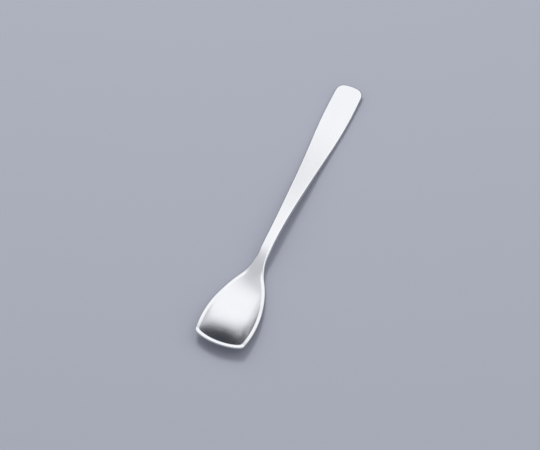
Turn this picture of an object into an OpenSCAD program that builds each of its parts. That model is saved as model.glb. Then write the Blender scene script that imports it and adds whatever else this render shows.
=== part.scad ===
// Ice cream spoon with a blunt, shovel-shaped bowl, pressed and ground from one piece of stainless steel.
// Bowl, neck and handle are one solid. All sizes are in millimetres.
// X runs from the front edge of the bowl to the end of the handle, Z is up, and the spoon stands on Z = 0.

/* [Plan] */

// length over all
length = 135; // [125:1:150]
// width of the bowl at its widest
bowl_width = 22; // [20:0.1:25]
// distance from the front edge back to the widest place of the bowl
widest_at = 11.4; // [9:0.1:14]
// narrowing of each side from the widest place forward to the front corner
corner_flare = 0.7; // [0.1:0.1:1]
// radius of the blunt front edge, seen from above
front_radius = 24; // [20:1:60]
// radius of the two front corners
corner_radius = 2.8; // [1.8:0.1:4]
// radius of the convex flank behind the widest place
flank_radius = 45; // [36:1:52]
// radius of the hollow throat between the flank and the neck
throat_radius = 20; // [16:0.5:34]
// width of the neck, the narrowest place
neck_width = 4.7; // [4:0.1:6]
// width of the handle halfway along its taper
grip_width = 7.5; // [6:0.1:9]
// width of the handle near its end
end_width = 11.8; // [9:0.1:14]
// radius of the end of the handle, seen from above
end_radius = 15.5; // [12:0.5:40]
// radius of the two corners at the end of the handle
end_corner_radius = 3.6; // [2:0.2:4.2]

/* [Side] */

// distance from the front edge back to the deepest place of the bowl
deepest_at = 18; // [14:0.5:21]
// radius of the hollow along the spoon, from the deepest place forward
hollow_radius = 32; // [24:1:44]
// length of the level bottom behind the deepest place, before the bowl rises to the neck
bottom_run = 5; // [0:0.5:8]
// depth of the hollow below the sides, across the deepest place
hollow_depth = 2.7; // [1.2:0.1:3.6]
// depth of the hollow across the front edge, below the two front corners
front_hollow = 0.3; // [0.3:0.1:2]
// clearance under the neck
neck_clearance = 3; // [1.4:0.1:5]
// distance from the end of the handle forward to where its underside touches the table
touch_back = 26.5; // [20:0.5:36]
// lift of the underside of the handle at its very end
end_lift = 0.6; // [0.2:0.1:2]

/* [Section] */

// thickness of the bowl
bowl_wall = 1.2; // [1:0.05:1.5]
// thickness of the neck
neck_thickness = 3; // [2.4:0.1:3.6]
// thickness of the handle at its end
end_thickness = 1.8; // [1.5:0.1:2.4]
// width of the flat land around the bowl
land_width = 1; // [0.6:0.1:1.4]
// rounding of the rim of the bowl
rim_rounding = 0.35; // [0.2:0.05:0.45]
// rounding of the edges of the neck
neck_rounding = 0.95; // [0.5:0.05:1.1]
// rounding of the edges of the handle
handle_rounding = 0.55; // [0.3:0.05:0.7]
// fall of the handle from its middle to its edges, as a share of its half width
crown = 0.02; // [0:0.005:0.04]

/* [Hidden] */

steel = [0.78, 0.79, 0.80];
half_bowl = bowl_width / 2;
half_neck = neck_width / 2;
half_grip = grip_width / 2;
half_end = end_width / 2;

// The front corner is a circle inside the arc of the front edge, and it ends where the side starts.
corner_turn = atan(2 * corner_flare / (widest_at - corner_radius));
corner_y = half_bowl - corner_flare - corner_radius * cos(corner_turn);
corner_x = front_radius - sqrt(pow(front_radius - corner_radius, 2) - pow(corner_y, 2));
front_turn = asin(corner_y / (front_radius - corner_radius));
side_start = corner_x - corner_radius * sin(corner_turn);

// The flank and the throat are two arcs that touch.
arc_rise = half_neck + throat_radius - half_bowl + flank_radius;
arc_run = sqrt(pow(flank_radius + throat_radius, 2) - pow(arc_rise, 2));
throat_end = widest_at + arc_run;
arcs_meet = widest_at + arc_run * flank_radius / (flank_radius + throat_radius);

// The neck keeps its width for a while. Then the handle widens to a place near its end, and closes a little.
neck_run = 5;
end_run = 13;
end_flare = 0.12;
middle_steepness = 1.1;
taper_start = throat_end + neck_run;
end_widest_at = length - end_run;
taper_middle = (taper_start + end_widest_at) / 2;
taper_slope = middle_steepness * (half_end - half_neck) / (end_widest_at - taper_start);
end_turn = atan(2 * end_flare / (end_run - end_corner_radius));
end_corner_y = half_end - end_flare - end_corner_radius * cos(end_turn);
end_corner_x = length - end_radius + sqrt(pow(end_radius - end_corner_radius, 2) - pow(end_corner_y, 2));
end_arc_turn = asin(end_corner_y / (end_radius - end_corner_radius));
side_end = end_corner_x + end_corner_radius * sin(end_turn);

// A smooth step from 0 to 1, and a cubic through two heights with given slopes.
function step01(t) = let (c = min(1, max(0, t))) c * c * (3 - 2 * c);
function blend(x, x0, x1, a, b) = a + (b - a) * step01((x - x0) / (x1 - x0));
function cubic(x, x0, x1, a, b, m0, m1) =
    let (h = x1 - x0, t = (x - x0) / h)
    a * (1 + 2 * t) * pow(1 - t, 2) + m0 * h * t * pow(1 - t, 2)
    + b * t * t * (3 - 2 * t) - m1 * h * t * t * (1 - t);

// Half width of the side between the front corner and the end corner.
function half_width(x) =
    x < widest_at
        ? half_bowl - corner_flare * pow((widest_at - x) / (widest_at - side_start), 2)
    : x < arcs_meet
        ? half_bowl - flank_radius + sqrt(pow(flank_radius, 2) - pow(x - widest_at, 2))
    : x < throat_end
        ? half_neck + throat_radius - sqrt(pow(throat_radius, 2) - pow(throat_end - x, 2))
    : x < taper_start ? half_neck
    : x < taper_middle
        ? cubic(x, taper_start, taper_middle, half_neck, half_grip, 0, taper_slope)
    : x < end_widest_at
        ? cubic(x, taper_middle, end_widest_at, half_grip, half_end, taper_slope, 0)
    : half_end - end_flare * pow((x - end_widest_at) / (side_end - end_widest_at), 2);

function steps(from, to, count) = [for (k = [0:count - 1]) from + (to - from) * k / count];

front_points = [
    for (a = steps(0, front_turn, 9))
        [front_radius * (1 - cos(a)), front_radius * sin(a)]
];
corner_points = [
    for (a = steps(front_turn, 90 - corner_turn, 9))
        [corner_x - corner_radius * cos(a), corner_y + corner_radius * sin(a)]
];
side_x = concat(
    steps(side_start, widest_at, 4),
    steps(widest_at, arcs_meet, 12),
    steps(arcs_meet, throat_end, 9),
    steps(throat_end, taper_start, 3),
    steps(taper_start, taper_middle, 9),
    steps(taper_middle, end_widest_at, 9),
    steps(end_widest_at, side_end, 4)
);
side_points = [for (x = side_x) [x, half_width(x)]];
end_corner_points = [
    for (a = steps(90 - end_turn, end_arc_turn, 8))
        [end_corner_x + end_corner_radius * cos(a), end_corner_y + end_corner_radius * sin(a)]
];
end_points = [
    for (a = steps(end_arc_turn, 0, 4))
        [length - end_radius * (1 - cos(a)), end_radius * sin(a)]
];
half_outline = concat(front_points, corner_points, side_points, end_corner_points, end_points, [[length, 0]]);
half_count = len(half_outline);
outline = concat(
    half_outline,
    [for (k = [half_count - 2:-1:1]) [half_outline[k][0], -half_outline[k][1]]]
);
count = len(outline);

// Outward direction at a point of the outline, square to its two neighbours.
function outward(k) =
    let (
        before = outline[(k + count - 1) % count],
        after = outline[(k + 1) % count],
        run = after - before
    )
    [-run[1], run[0]] / norm(run);

// Underside of the middle of the spoon: it touches the table under the bowl and near the end of the handle.
// The wall grows thicker where the underside rises to the neck.
touch_at = length - touch_back;
highest_behind_throat = 9;
neck_at = throat_end + highest_behind_throat;
rise_start = deepest_at + bottom_run;
function underside(x) =
    x < deepest_at ? pow(deepest_at - x, 2) / (2 * (hollow_radius + bowl_wall))
    : x < neck_at ? blend(x, rise_start, neck_at, 0, neck_clearance)
    : x < touch_at ? blend(x, neck_at, touch_at, neck_clearance, 0)
    : end_lift * pow((x - touch_at) / touch_back, 2);

function thickness(x) =
    x < neck_at ? blend(x, rise_start, neck_at, bowl_wall, neck_thickness)
    : blend(x, neck_at, length, neck_thickness, end_thickness);

function top_line(x) =
    x < deepest_at ? bowl_wall + pow(deepest_at - x, 2) / (2 * hollow_radius)
    : underside(x) + thickness(x);

// The bowl is hollow across too. The hollow is flatter at the front edge, and it runs out in the throat,
// where the crown of the handle starts.
rim_reach = half_bowl - land_width;
round_share = 0.5;
fade_lead = 4;
crown_run = 10;
fade_start = arcs_meet - fade_lead;
crown_start = throat_end - fade_lead;
function hollow(x) =
    x < deepest_at
        ? hollow_depth + (front_hollow - hollow_depth) * pow((deepest_at - x) / deepest_at, 2)
    : blend(x, fade_start, throat_end, hollow_depth, 0);
function across(v) = round_share * v * v + (1 - round_share) * pow(v, 4);
function crown_at(x) = blend(x, crown_start, crown_start + crown_run, 0, crown) / half_width(x);

// Height of the upper face and of the lower face over a place in plan.
function upper(p) =
    top_line(p[0]) + hollow(p[0]) * across(p[1] / rim_reach) - crown_at(p[0]) * p[1] * p[1];
function lower(p) = underside(p[0]) + hollow(p[0]) * across(p[1] / half_bowl);

// The land around the bowl is level across, and it runs out in the throat.
function land(x) = blend(x, arcs_meet, throat_end, land_width, 0);

// The edges are rounded most at the neck. No rounding takes more than its share of the thickness at the edge.
rounding_share = 0.45;
rounding_run = 8;
rounding_tail = 10;
function wanted_rounding(x) =
    x < throat_end ? blend(x, fade_start, throat_end, rim_rounding, neck_rounding)
    : blend(x, throat_end + rounding_run, taper_middle + rounding_tail, neck_rounding, handle_rounding);

function inward(k, inset) = outline[k] - inset * outward(k);
function edge_upper(k) = let (x = outline[k][0]) upper(inward(k, wanted_rounding(x) + land(x)));
function edge_lower(k) = lower(inward(k, wanted_rounding(outline[k][0])));
function rounding(k) =
    min(wanted_rounding(outline[k][0]), rounding_share * (edge_upper(k) - edge_lower(k)));

// Place on the middle line that a point of the outline is joined to. The points around the front all go to
// the deepest place, and those around the end of the handle go to one place too.
fan_start = 8;
fan_end = 2 * deepest_at - fan_start;
tail = length - half_end;
tail_run = 6;
function spine_x(x) =
    x < fan_start ? deepest_at
    : x < fan_end ? deepest_at + pow(x - fan_start, 2) / (2 * (fan_end - fan_start))
    : x < tail - tail_run ? x
    : x < tail + tail_run ? x - pow(x - tail + tail_run, 2) / (4 * tail_run)
    : tail;

// Shares of the way from the middle line to the edge, and angles around the rounded edges.
top_shares = [0.1, 0.22, 0.34, 0.46, 0.58, 0.7, 0.8, 0.88, 0.95, 1];
edge_angles = [0, 22.5, 45, 67.5, 90];
under_shares = [1, 0.86, 0.72, 0.58, 0.44, 0.3, 0.18, 0.1];
least_land = 0.2;

function along(k, inset, share) =
    let (m = [spine_x(outline[k][0]), 0]) m + (inward(k, inset) - m) * share;
function top_point(k, share) =
    let (p = along(k, rounding(k) + max(land(outline[k][0]), least_land), share)) [p[0], p[1], upper(p)];
function under_point(k, share) =
    let (p = along(k, rounding(k), share)) [p[0], p[1], lower(p)];
function upper_edge_point(k, a) =
    let (r = rounding(k), p = inward(k, r * (1 - sin(a))))
    [p[0], p[1], edge_upper(k) - r * (1 - cos(a))];
function lower_edge_point(k, a) =
    let (r = rounding(k), p = inward(k, r * (1 - sin(a))))
    [p[0], p[1], edge_lower(k) + r * (1 - cos(a))];

rings = concat(
    [for (s = top_shares) [for (k = [0:count - 1]) top_point(k, s)]],
    [for (a = edge_angles) [for (k = [0:count - 1]) upper_edge_point(k, a)]],
    [for (j = [len(edge_angles) - 1:-1:1]) [for (k = [0:count - 1]) lower_edge_point(k, edge_angles[j])]],
    [for (s = under_shares) [for (k = [0:count - 1]) under_point(k, s)]]
);
ring_count = len(rings);
skin_points = [for (ring = rings) each ring];

// Bands between neighbouring rings, and the two strips that close the skin over the middle line.
band_faces = [
    for (j = [0:ring_count - 2], k = [0:count - 1])
        let (
            a = j * count + k,
            b = j * count + (k + 1) % count,
            c = a + count,
            d = b + count
        )
        each [[a, b, d], [a, d, c]]
];
function strip(first, turn) = [
    for (k = [0:half_count - 2])
        let (
            a = first + k,
            b = first + k + 1,
            c = first + (count - k) % count,
            d = first + (count - k - 1) % count,
            one = k > 0 ? [[a, c, b]] : [],
            two = k < half_count - 2 ? [[b, c, d]] : []
        )
        for (f = concat(one, two)) turn ? [f[0], f[2], f[1]] : f
];
last_ring = (ring_count - 1) * count;
skin_faces = concat(band_faces, strip(0, false), strip(last_ring, true));

module spoon() {
    color(steel)
        translate([-length / 2, 0, 0])
            polyhedron(points = skin_points, faces = skin_faces, convexity = 6);
}

spoon();
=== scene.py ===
import math

import bpy
import numpy as np
from mathutils import Matrix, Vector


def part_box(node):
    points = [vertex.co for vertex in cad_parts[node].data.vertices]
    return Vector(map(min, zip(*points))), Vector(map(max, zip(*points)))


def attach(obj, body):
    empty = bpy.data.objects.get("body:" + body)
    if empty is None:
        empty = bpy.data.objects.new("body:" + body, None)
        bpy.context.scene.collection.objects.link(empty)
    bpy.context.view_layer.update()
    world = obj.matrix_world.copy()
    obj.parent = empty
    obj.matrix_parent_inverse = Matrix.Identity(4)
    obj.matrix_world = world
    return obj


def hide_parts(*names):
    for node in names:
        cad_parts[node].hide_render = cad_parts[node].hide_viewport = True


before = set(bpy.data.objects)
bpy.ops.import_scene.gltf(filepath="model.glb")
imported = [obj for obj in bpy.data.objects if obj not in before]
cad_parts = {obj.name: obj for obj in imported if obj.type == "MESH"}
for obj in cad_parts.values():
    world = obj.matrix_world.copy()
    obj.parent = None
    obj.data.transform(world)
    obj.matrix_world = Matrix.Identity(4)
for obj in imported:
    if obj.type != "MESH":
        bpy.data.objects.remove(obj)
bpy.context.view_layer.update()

# The spoon is one piece of stainless steel, cut from sheet, pressed hollow at the bowl and rolled thinner
# towards the end of the handle. A flat land is ground around the bowl, the edges are rounded over and
# polished, and the faces are brushed along the spoon.

# Sizes are in millimetres, with x counted from the front edge of the bowl and y from the middle line.
MM = 0.001
low_corner, high_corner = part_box("spoon")

# The outline, seen from above: a blunt front edge with two small corners, convex flanks, a hollow throat,
# a narrow neck, and a handle that widens to a rounded, square end.
LENGTH = (high_corner[0] - low_corner[0]) / MM
HALF_BOWL = (high_corner[1] - low_corner[1]) / MM / 2
WIDEST_AT = 11.4
CORNER_FLARE = 0.7
FRONT_RADIUS = 24
CORNER_RADIUS = 2.8
FLANK_RADIUS = 45
THROAT_RADIUS = 20
HALF_NECK = 4.7 / 2
NECK_RUN = 5
HALF_GRIP = 7.5 / 2
MIDDLE_STEEPNESS = 1.1
HALF_END = 11.8 / 2
END_RUN = 13
END_FLARE = 0.12
END_RADIUS = 15.5
END_CORNER_RADIUS = 3.6

corner_turn = math.atan(2 * CORNER_FLARE / (WIDEST_AT - CORNER_RADIUS))
corner_y = HALF_BOWL - CORNER_FLARE - CORNER_RADIUS * math.cos(corner_turn)
corner_x = FRONT_RADIUS - math.sqrt((FRONT_RADIUS - CORNER_RADIUS) ** 2 - corner_y ** 2)
front_turn = math.asin(corner_y / (FRONT_RADIUS - CORNER_RADIUS))
side_start = corner_x - CORNER_RADIUS * math.sin(corner_turn)

arc_rise = HALF_NECK + THROAT_RADIUS - HALF_BOWL + FLANK_RADIUS
arc_run = math.sqrt((FLANK_RADIUS + THROAT_RADIUS) ** 2 - arc_rise ** 2)
throat_end = WIDEST_AT + arc_run
arcs_meet = WIDEST_AT + arc_run * FLANK_RADIUS / (FLANK_RADIUS + THROAT_RADIUS)

taper_start = throat_end + NECK_RUN
end_widest_at = LENGTH - END_RUN
taper_middle = (taper_start + end_widest_at) / 2
taper_slope = MIDDLE_STEEPNESS * (HALF_END - HALF_NECK) / (end_widest_at - taper_start)
end_turn = math.atan(2 * END_FLARE / (END_RUN - END_CORNER_RADIUS))
end_corner_y = HALF_END - END_FLARE - END_CORNER_RADIUS * math.cos(end_turn)
end_corner_x = LENGTH - END_RADIUS + math.sqrt((END_RADIUS - END_CORNER_RADIUS) ** 2 - end_corner_y ** 2)
end_arc_turn = math.asin(end_corner_y / (END_RADIUS - END_CORNER_RADIUS))
side_end = end_corner_x + END_CORNER_RADIUS * math.sin(end_turn)


def step(t):
    """Smooth step: 0 up to t = 0, 1 from t = 1, and 3 t squared less 2 t cubed between."""
    c = np.clip(t, 0, 1)
    return c * c * (3 - 2 * c)


def blend(x, x0, x1, a, b):
    """Value a up to x0, b from x1, and a smooth step between."""
    return a + (b - a) * step((x - x0) / (x1 - x0))


def cubic(x, x0, x1, a, b, slope0, slope1):
    """Hermite cubic from a at x0 to b at x1, with the given slopes there."""
    h = x1 - x0
    t = (x - x0) / h
    ends = a * (1 + 2 * t) * (1 - t) ** 2 + b * t * t * (3 - 2 * t)
    return ends + slope0 * h * t * (1 - t) ** 2 - slope1 * h * t * t * (1 - t)


def half_width(x):
    """Half width at x: parabola, flank arc, throat arc, straight neck, two cubics and a parabola, in turn."""
    flank = np.sqrt(np.maximum(FLANK_RADIUS ** 2 - (x - WIDEST_AT) ** 2, 0))
    throat = np.sqrt(np.maximum(THROAT_RADIUS ** 2 - (throat_end - x) ** 2, 0))
    return np.select(
        [x < WIDEST_AT, x < arcs_meet, x < throat_end, x < taper_start, x < taper_middle, x < end_widest_at],
        [
            HALF_BOWL - CORNER_FLARE * ((WIDEST_AT - x) / (WIDEST_AT - side_start)) ** 2,
            HALF_BOWL - FLANK_RADIUS + flank,
            HALF_NECK + THROAT_RADIUS - throat,
            HALF_NECK + 0 * x,
            cubic(x, taper_start, taper_middle, HALF_NECK, HALF_GRIP, 0, taper_slope),
            cubic(x, taper_middle, end_widest_at, HALF_GRIP, HALF_END, taper_slope, 0),
        ],
        HALF_END - END_FLARE * ((x - end_widest_at) / (side_end - end_widest_at)) ** 2,
    )


def spread(start, stop, count):
    """Evenly spaced values from start up to, but without, stop."""
    return start + (stop - start) * np.arange(count) / count


def arc(centre_x, centre_y, radius, angles):
    """Points of a circle; the angle runs from the line towards the front, over the +Y side."""
    return np.stack([centre_x - radius * np.cos(angles), centre_y + radius * np.sin(angles)], 1)


right_angle = math.pi / 2
end_angle = math.pi - end_arc_turn

# Each stretch of the outline has a start, an end and a number of points.
side_x = np.concatenate([
    spread(side_start, WIDEST_AT, 16),
    spread(WIDEST_AT, arcs_meet, 36),
    spread(arcs_meet, throat_end, 30),
    spread(throat_end, taper_start, 8),
    spread(taper_start, taper_middle, 36),
    spread(taper_middle, end_widest_at, 36),
    spread(end_widest_at, side_end, 12),
])
half_outline = np.concatenate([
    arc(FRONT_RADIUS, 0, FRONT_RADIUS, spread(0, front_turn, 28)),
    arc(corner_x, corner_y, CORNER_RADIUS, spread(front_turn, right_angle - corner_turn, 22)),
    np.stack([side_x, half_width(side_x)], 1),
    arc(end_corner_x, end_corner_y, END_CORNER_RADIUS, spread(right_angle + end_turn, end_angle, 22)),
    arc(LENGTH - END_RADIUS, 0, END_RADIUS, spread(end_angle, math.pi, 12)),
    [[LENGTH, 0]],
])
outline = np.concatenate([half_outline, half_outline[-2:0:-1] * [1, -1]])
run = np.roll(outline, -1, 0) - np.roll(outline, 1, 0)
outward = np.stack([-run[:, 1], run[:, 0]], 1) / np.linalg.norm(run, axis=1, keepdims=True)

# The side view and the hollow: the front edge rises, the bottom of the bowl is level for a stretch, the neck
# stands clear of the table, and the handle comes down to touch it near its end.
DEEPEST_AT = 18
HOLLOW_RADIUS = 32
BOTTOM_RUN = 5
HOLLOW_DEPTH = 2.7
FRONT_HOLLOW = 0.3
ROUND_SHARE = 0.5
FADE_LEAD = 4
NECK_CLEARANCE = 3
HIGHEST_BEHIND_THROAT = 9
TOUCH_BACK = 26.5
END_LIFT = 0.6
BOWL_WALL = 1.2
NECK_THICKNESS = 3
END_THICKNESS = 1.8
LAND_WIDTH = 1
CROWN = 0.02
CROWN_LEAD = 4
CROWN_RUN = 10

neck_at = throat_end + HIGHEST_BEHIND_THROAT
touch_at = LENGTH - TOUCH_BACK
rise_start = DEEPEST_AT + BOTTOM_RUN
fade_start = arcs_meet - FADE_LEAD
crown_start = throat_end - CROWN_LEAD


def underside(x):
    """Height of the underside along the middle: a parabola, two smooth steps and a parabola."""
    return np.select(
        [x < DEEPEST_AT, x < neck_at, x < touch_at],
        [
            (DEEPEST_AT - x) ** 2 / (2 * (HOLLOW_RADIUS + BOWL_WALL)),
            blend(x, rise_start, neck_at, 0, NECK_CLEARANCE),
            blend(x, neck_at, touch_at, NECK_CLEARANCE, 0),
        ],
        END_LIFT * ((x - touch_at) / TOUCH_BACK) ** 2,
    )


def thickness(x):
    """Thickness along the middle: a smooth step up to the neck and one down to the end."""
    rising = blend(x, rise_start, neck_at, BOWL_WALL, NECK_THICKNESS)
    return np.where(x < neck_at, rising, blend(x, neck_at, LENGTH, NECK_THICKNESS, END_THICKNESS))


def top_line(x):
    """Height of the top along the middle: a parabola in front, the underside plus the thickness behind."""
    front = BOWL_WALL + (DEEPEST_AT - x) ** 2 / (2 * HOLLOW_RADIUS)
    return np.where(x < DEEPEST_AT, front, underside(x) + thickness(x))


def hollow(x):
    """Depth of the hollow: a parabola from the front edge, level, and a smooth step to 0 in the throat."""
    front = HOLLOW_DEPTH + (FRONT_HOLLOW - HOLLOW_DEPTH) * ((DEEPEST_AT - x) / DEEPEST_AT) ** 2
    return np.where(x < DEEPEST_AT, front, blend(x, fade_start, throat_end, HOLLOW_DEPTH, 0))


def across(v):
    """Rise across the hollow, 0 in the middle and 1 at v = 1: a share of v squared, the rest v to the 4th."""
    return ROUND_SHARE * v ** 2 + (1 - ROUND_SHARE) * v ** 4


def upper(x, y):
    """Height of the upper face: the top line, plus the hollow's rise, less the handle's crown, a parabola."""
    crown = CROWN * step((x - crown_start) / CROWN_RUN) / half_width(x)
    return top_line(x) + hollow(x) * across(y / (HALF_BOWL - LAND_WIDTH)) - crown * y ** 2


def lower(x, y):
    """Height of the lower face: the underside, plus the hollow's rise."""
    return underside(x) + hollow(x) * across(y / HALF_BOWL)


# The land runs out in the throat, and the edges are roundest along the neck. No rounding takes more than a
# share of the thickness at the edge, so that an upright strip is left between the upper and the lower one.
RIM_ROUNDING = 0.35
NECK_ROUNDING = 0.95
HANDLE_ROUNDING = 0.55
NECK_ROUNDING_RUN = 8
ROUNDING_PAST_MIDDLE = 10
LARGEST_EDGE_SHARE = 0.45
LEAST_LAND = 0.2


def inward(inset):
    """The outline moved in by an inset, square to itself."""
    return outline - outward * np.asarray(inset)[:, None]


edge_x = outline[:, 0]
land = LAND_WIDTH * (1 - step((edge_x - arcs_meet) / (throat_end - arcs_meet)))
neck_rounding_end = throat_end + NECK_ROUNDING_RUN
handle_rounding_start = taper_middle + ROUNDING_PAST_MIDDLE
full_rounding = np.where(
    edge_x < throat_end,
    blend(edge_x, fade_start, throat_end, RIM_ROUNDING, NECK_ROUNDING),
    blend(edge_x, neck_rounding_end, handle_rounding_start, NECK_ROUNDING, HANDLE_ROUNDING),
)
edge_upper = upper(*inward(full_rounding + land).T)
edge_lower = lower(*inward(full_rounding).T)
rounding = np.minimum(full_rounding, LARGEST_EDGE_SHARE * (edge_upper - edge_lower))
land_ring_width = np.maximum(land, LEAST_LAND)

# The skin is a stack of rings, from the middle of the upper face out over the edge and back to the middle of
# the lower face. Their points stand in rows that run to a spine on the middle line, short of both ends.
FAN_START = 8
TAIL_EASE = 6


def spine_x(x):
    """Place on the spine for the outline at x: deepest place, a parabola, x itself, a parabola, the tail."""
    fan_end = 2 * DEEPEST_AT - FAN_START
    tail = LENGTH - HALF_END
    return np.select(
        [x < FAN_START, x < fan_end, x < tail - TAIL_EASE, x < tail + TAIL_EASE],
        [
            DEEPEST_AT + 0 * x,
            DEEPEST_AT + (x - FAN_START) ** 2 / (2 * (fan_end - FAN_START)),
            x,
            x - (x - tail + TAIL_EASE) ** 2 / (4 * TAIL_EASE),
        ],
        tail,
    )


def with_height(plan, z):
    """Points in space from points in plan and their heights."""
    return np.concatenate([plan, np.asarray(z)[:, None]], 1)


spine = np.stack([spine_x(edge_x), 0 * edge_x], 1)


def upper_ring(share):
    """One ring of the upper face, at a share of the way from the spine to the land."""
    plan = spine + (inward(rounding + land_ring_width) - spine) * share
    return with_height(plan, upper(*plan.T))


def land_ring(share):
    """One ring of the land: level with the hollow at share 0 and with the rounding at 1, straight between."""
    inner = upper_ring(1)[:, 2]
    plan = inward(rounding + land_ring_width * (1 - share))
    return with_height(plan, inner + (edge_upper - inner) * share)


def edge_ring(angle, level, side):
    """One ring of a rounded edge: a quarter circle, level at angle 0 and upright at a right angle."""
    plan = inward(rounding * (1 - math.sin(angle)))
    return with_height(plan, level - side * rounding * (1 - math.cos(angle)))


def lower_ring(share):
    """One ring of the lower face, at a share of the way from the spine to the edge."""
    plan = spine + (inward(rounding) - spine) * share
    return with_height(plan, lower(*plan.T))


# The rings of the upper face are closer together beside the land, where the face turns into it.
upper_shares = np.concatenate([np.linspace(0.04, 0.94, 24), [0.965, 0.985, 1]])
land_shares = (0.1, 0.35, 0.65, 0.9)
edge_angles = np.linspace(0, right_angle, 9)
lower_shares = np.linspace(0.96, 0.04, 20)
rings = np.stack(
    [upper_ring(share) for share in upper_shares]
    + [land_ring(share) for share in land_shares]
    + [edge_ring(angle, edge_upper, 1) for angle in edge_angles]
    + [edge_ring(angle, edge_lower, -1) for angle in edge_angles[::-1]]
    + [lower_ring(share) for share in lower_shares]
)


def closed_skin(layers, count):
    """Faces of a stack of closed rings; a strip along the middle shuts the first ring and the last."""
    first = np.arange(layers - 1)[:, None] * count + np.arange(count)
    second = np.arange(layers - 1)[:, None] * count + np.roll(np.arange(count), -1)
    bands = np.stack([first, second, second + count, first + count], -1).reshape(-1, 4)
    k = np.arange(1, count // 2 - 1)
    strip = np.stack([k, count - k, count - k - 1, k + 1], -1)
    last = (layers - 1) * count
    quads = np.concatenate([bands, strip, strip[:, ::-1] + last])
    tail = count // 2
    ends = np.array([[0, count - 1, 1], [tail - 1, tail + 1, tail]])
    return quads.tolist() + ends.tolist() + (ends[:, ::-1] + last).tolist()


points = rings.reshape(-1, 3) * MM
points[:, 0] += low_corner[0]
spoon_mesh = bpy.data.meshes.new("steel_spoon")
spoon_mesh.from_pydata(points.tolist(), [], closed_skin(*rings.shape[:2]))
spoon_mesh.polygons.foreach_set("use_smooth", np.ones(len(spoon_mesh.polygons), dtype=bool))

# The attribute polish is 1 on the land and the edges, and 0 on the two brushed faces.
ring_polish = np.ones(len(rings))
ring_polish[:len(upper_shares) - 1] = 0
ring_polish[-len(lower_shares):] = 0
polish_attribute = spoon_mesh.attributes.new("polish", "FLOAT", "POINT")
polish_attribute.data.foreach_set("value", np.repeat(ring_polish, rings.shape[1]))
spoon_mesh.update()

spoon = bpy.data.objects.new("steel_spoon", spoon_mesh)
bpy.context.scene.collection.objects.link(spoon)
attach(spoon, "root")
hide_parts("spoon")


def linear(hex_colour):
    """Linear colour with alpha from an sRGB hex value, by the curve of the sRGB standard."""
    channels = [int(hex_colour[i:i + 2], 16) / 255 for i in (1, 3, 5)]
    return [c / 12.92 if c <= 0.04045 else ((c + 0.055) / 1.055) ** 2.4 for c in channels] + [1]


def add_node(owner, kind, inputs, output=0, **settings):
    """Adds a node with its settings, gives each input its value or its link, and returns one output."""
    node = owner.node_tree.nodes.new(kind)
    for name, value in settings.items():
        setattr(node, name, value)

    def find(sockets, key):
        """The socket of that number, or the first of that name, among those in use."""
        in_use = [socket for socket in sockets if socket.enabled]
        if isinstance(key, int):
            return in_use[key]
        return next(socket for socket in in_use if socket.name == key)

    for key, value in inputs.items():
        if isinstance(value, bpy.types.NodeSocket):
            owner.node_tree.links.new(value, find(node.inputs, key))
        else:
            find(node.inputs, key).default_value = value
    return find(node.outputs, output)


# Stainless steel, brushed along the spoon with a fine belt and polished at the edges. It gives the eye soft,
# broad reflections, fine lines, faint clouds where the belt bit less, and brighter, sharper edges. The real
# lines are some 0.03 mm wide and too fine to show, so they are drawn 0.12 mm wide.
STEEL_DARK = "#cfd1d4"
STEEL_LIGHT = "#dddee0"
LINE_LENGTH = 4
LINE_WIDTH = 0.12
LINE_HEIGHT = 0.001
CLOUD_LENGTH = 14
CLOUD_WIDTH = 6
SMOOTHEST_LINE = 0.19
ROUGHEST_LINE = 0.31
CLOUD_ROUGHNESS = 0.02
POLISHED_ROUGHNESS = 0.16
POLISHED_LINES = 0.2
BRUSHED_ANISOTROPY = 0.3


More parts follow.
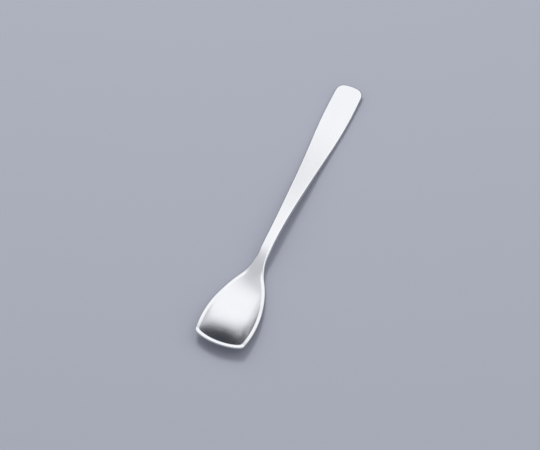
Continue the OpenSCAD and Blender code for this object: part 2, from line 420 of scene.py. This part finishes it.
def satin_stainless_steel():
    """Roughness, tone and relief follow noise drawn out along the spoon; polish lowers the first and last."""
    material = bpy.data.materials.new("satin_stainless_steel")
    material.use_nodes = True
    links = material.node_tree.links
    shader = material.node_tree.nodes["Principled BSDF"]
    shader.inputs["Metallic"].default_value = 1
    shader.inputs["Anisotropic"].default_value = BRUSHED_ANISOTROPY
    place = add_node(material, "ShaderNodeTexCoord", {}, "Object")
    polish = add_node(material, "ShaderNodeAttribute", {}, "Fac", attribute_name="polish")

    def grain(length, width, detail):
        """Noise in streaks of the given length along the spoon and the given width."""
        scale = (1 / (length * MM), 1 / (width * MM), 1 / (width * MM))
        stretched = add_node(material, "ShaderNodeMapping", {"Vector": place, "Scale": scale})
        return add_node(material, "ShaderNodeTexNoise", {"Vector": stretched, "Scale": 1, "Detail": detail})

    lines = grain(LINE_LENGTH, LINE_WIDTH, detail=3)
    clouds = grain(CLOUD_LENGTH, CLOUD_WIDTH, detail=1)

    line_range = {"Value": lines, "To Min": SMOOTHEST_LINE, "To Max": ROUGHEST_LINE}
    cloud_range = {"Value": clouds, "To Min": -CLOUD_ROUGHNESS, "To Max": CLOUD_ROUGHNESS}
    brushed = add_node(material, "ShaderNodeMapRange", line_range)
    cloud_change = add_node(material, "ShaderNodeMapRange", cloud_range)
    satin = add_node(material, "ShaderNodeMath", {0: brushed, 1: cloud_change}, operation="ADD")
    roughness = add_node(material, "ShaderNodeMix", {"Factor": polish, "A": satin, "B": POLISHED_ROUGHNESS})
    links.new(roughness, shader.inputs["Roughness"])

    half_clouds = add_node(material, "ShaderNodeMapRange", {"Value": clouds, "To Min": 0, "To Max": 0.5})
    shade = add_node(material, "ShaderNodeMath", {0: lines, 1: 0.5, 2: half_clouds}, operation="MULTIPLY_ADD")
    tones = {"Factor": shade, "A": linear(STEEL_DARK), "B": linear(STEEL_LIGHT)}
    links.new(add_node(material, "ShaderNodeMix", tones, data_type="RGBA"), shader.inputs["Base Color"])

    along_spoon = add_node(material, "ShaderNodeTangent", {}, direction_type="RADIAL", axis="X")
    links.new(along_spoon, shader.inputs["Tangent"])

    strength_range = {"Value": polish, "To Min": 1, "To Max": POLISHED_LINES}
    strength = add_node(material, "ShaderNodeMapRange", strength_range)
    relief = {"Height": lines, "Strength": strength, "Distance": LINE_HEIGHT * MM}
    links.new(add_node(material, "ShaderNodeBump", relief), shader.inputs["Normal"])
    return material


spoon_mesh.materials.append(satin_stainless_steel())

# The floor is a sheet of plain, matt paper in pale grey, laid flat under the spoon. It reaches 3 metres to
# each side, so that its edges stay out of the picture.
HALF_FLOOR = 3
PAPER_GREY = "#a0a4b0"
floor_corners = [(x * HALF_FLOOR, y * HALF_FLOOR, 0) for x, y in ((-1, -1), (1, -1), (1, 1), (-1, 1))]
floor_mesh = bpy.data.meshes.new("floor")
floor_mesh.from_pydata(floor_corners, [], [(0, 1, 2, 3)])
floor = bpy.data.objects.new("floor", floor_mesh)
bpy.context.scene.collection.objects.link(floor)
floor_material = bpy.data.materials.new("pale_grey_paper")
floor_material.use_nodes = True
paper = floor_material.node_tree.nodes["Principled BSDF"]
paper.inputs["Base Color"].default_value = linear(PAPER_GREY)
paper.inputs["Roughness"].default_value = 0.8
floor_mesh.materials.append(floor_material)

# The camera looks down over the front of the bowl, from a little to its right, as in the photograph. It aims
# at the place on the floor under the middle of the spoon, which the photograph has at AIM_PIXEL.
# From here on, angles are in degrees and lengths in metres.
AZIMUTH = -66.5
ELEVATION = 57
DISTANCE = 0.75
PICTURE_WIDTH = 540
PICTURE_HEIGHT = 450
PIXELS_PER_MM = 2.509
AIM_PIXEL = (287.3, 214.2)
SENSOR_WIDTH = 36


def towards(azimuth, elevation):
    """Unit vector at an azimuth in degrees, 0 over the -Y side and 90 over +X, and at an elevation."""
    a = math.radians(azimuth)
    e = math.radians(elevation)
    return np.array([math.sin(a) * math.cos(e), -math.cos(a) * math.cos(e), math.sin(e)])


camera_data = bpy.data.cameras.new("camera")
camera_data.sensor_width = SENSOR_WIDTH
camera_data.lens = SENSOR_WIDTH * PIXELS_PER_MM * DISTANCE / MM / PICTURE_WIDTH
camera_data.shift_x = (PICTURE_WIDTH / 2 - AIM_PIXEL[0]) / PICTURE_WIDTH
camera_data.shift_y = (AIM_PIXEL[1] - PICTURE_HEIGHT / 2) / PICTURE_WIDTH
camera_data.clip_start = 0.01
camera = bpy.data.objects.new("camera", camera_data)
camera.location = towards(AZIMUTH, ELEVATION) * DISTANCE
camera.rotation_euler = (math.radians(90 - ELEVATION), 0, math.radians(AZIMUTH))
bpy.context.scene.collection.objects.link(camera)
bpy.context.scene.camera = camera

# Four softboxes stand beyond the spoon as the camera sees it. The largest lights all of it from above, and
# two smaller ones, low down to the left and the right, fill the walls of the bowl. The smallest gives the
# spoon its shadow on the floor, and shows in no reflection.
FAR_SIDE = AZIMUTH + 180
LAMP_DISTANCE = 1.2
LAMP_WHITE = "#fffdf9"


def softbox(name, azimuth, elevation, width, height, radiance, turn=0):
    """An area lamp that faces the spoon; its power is the radiance times pi times its area."""
    lamp_data = bpy.data.lights.new(name, "AREA")
    lamp_data.shape = "RECTANGLE"
    lamp_data.size = width
    lamp_data.size_y = height
    lamp_data.energy = radiance * math.pi * width * height
    lamp_data.color = linear(LAMP_WHITE)[:3]
    lamp = bpy.data.objects.new(name, lamp_data)
    lamp.matrix_world = (
        Matrix.Translation(towards(azimuth, elevation) * LAMP_DISTANCE)
        @ Matrix.Rotation(math.radians(azimuth), 4, "Z")
        @ Matrix.Rotation(math.radians(90 - elevation), 4, "X")
        @ Matrix.Rotation(math.radians(turn), 4, "Z")
    )
    bpy.context.scene.collection.objects.link(lamp)
    return lamp


softbox("key_softbox", FAR_SIDE - 28, 62, width=2.3, height=1.1, radiance=0.6, turn=-10)
softbox("left_softbox", FAR_SIDE + 37, 23, width=0.55, height=0.55, radiance=0.46)
softbox("right_softbox", FAR_SIDE - 60, 33, width=0.9, height=0.4, radiance=0.24)
shadow_lamp = softbox("shadow_softbox", FAR_SIDE + 13, 62, width=0.35, height=0.35, radiance=15)
shadow_lamp.visible_glossy = False

# The room around the spoon has pale walls and a pale ceiling. They are dimmer high up behind the camera, and
# dim and bluish low down on the far side, which shows as the dark place in the front wall of the bowl.
ROOM_WHITE = "#f4f5fa"
FAR_BLUE = "#adb4d2"
AXIS_FALL = math.radians(51)
AXIS_LEAN = math.radians(14)


def studio_world():
    """Strength is the product of two smooth steps along an axis to the far side, down and a little right."""
    world = bpy.data.worlds.new("studio")
    world.use_nodes = True
    links = world.node_tree.links
    background = world.node_tree.nodes["Background"]
    far = towards(FAR_SIDE, 0)
    right = towards(AZIMUTH + 90, 0)
    axis = math.cos(AXIS_LEAN) * math.cos(AXIS_FALL) * far + math.sin(AXIS_LEAN) * right
    axis[2] = -math.cos(AXIS_LEAN) * math.sin(AXIS_FALL)
    direction = add_node(world, "ShaderNodeTexCoord", {}, "Generated")
    along = add_node(world, "ShaderNodeVectorMath", {0: direction, 1: axis}, operation="DOT_PRODUCT")

    # Along the axis, -1 is high up behind the camera, and 1 is down on the far side.
    near_step = {"Value": along, "From Min": -1.3, "From Max": -0.55, "To Min": 0, "To Max": 0.85}
    far_step = {"Value": along, "From Min": -0.15, "From Max": 0.29, "To Min": 1, "To Max": 0.09}
    behind_camera = add_node(world, "ShaderNodeMapRange", near_step, interpolation_type="SMOOTHSTEP")
    far_side = add_node(world, "ShaderNodeMapRange", far_step, interpolation_type="SMOOTHSTEP")
    strength = add_node(world, "ShaderNodeMath", {0: behind_camera, 1: far_side}, operation="MULTIPLY")
    links.new(strength, background.inputs["Strength"])
    tints = {"Factor": far_side, "A": linear(FAR_BLUE), "B": linear(ROOM_WHITE)}
    links.new(add_node(world, "ShaderNodeMix", tints, data_type="RGBA"), background.inputs["Color"])
    return world


bpy.context.scene.world = studio_world()
bpy.context.scene.view_settings.view_transform = "Standard"
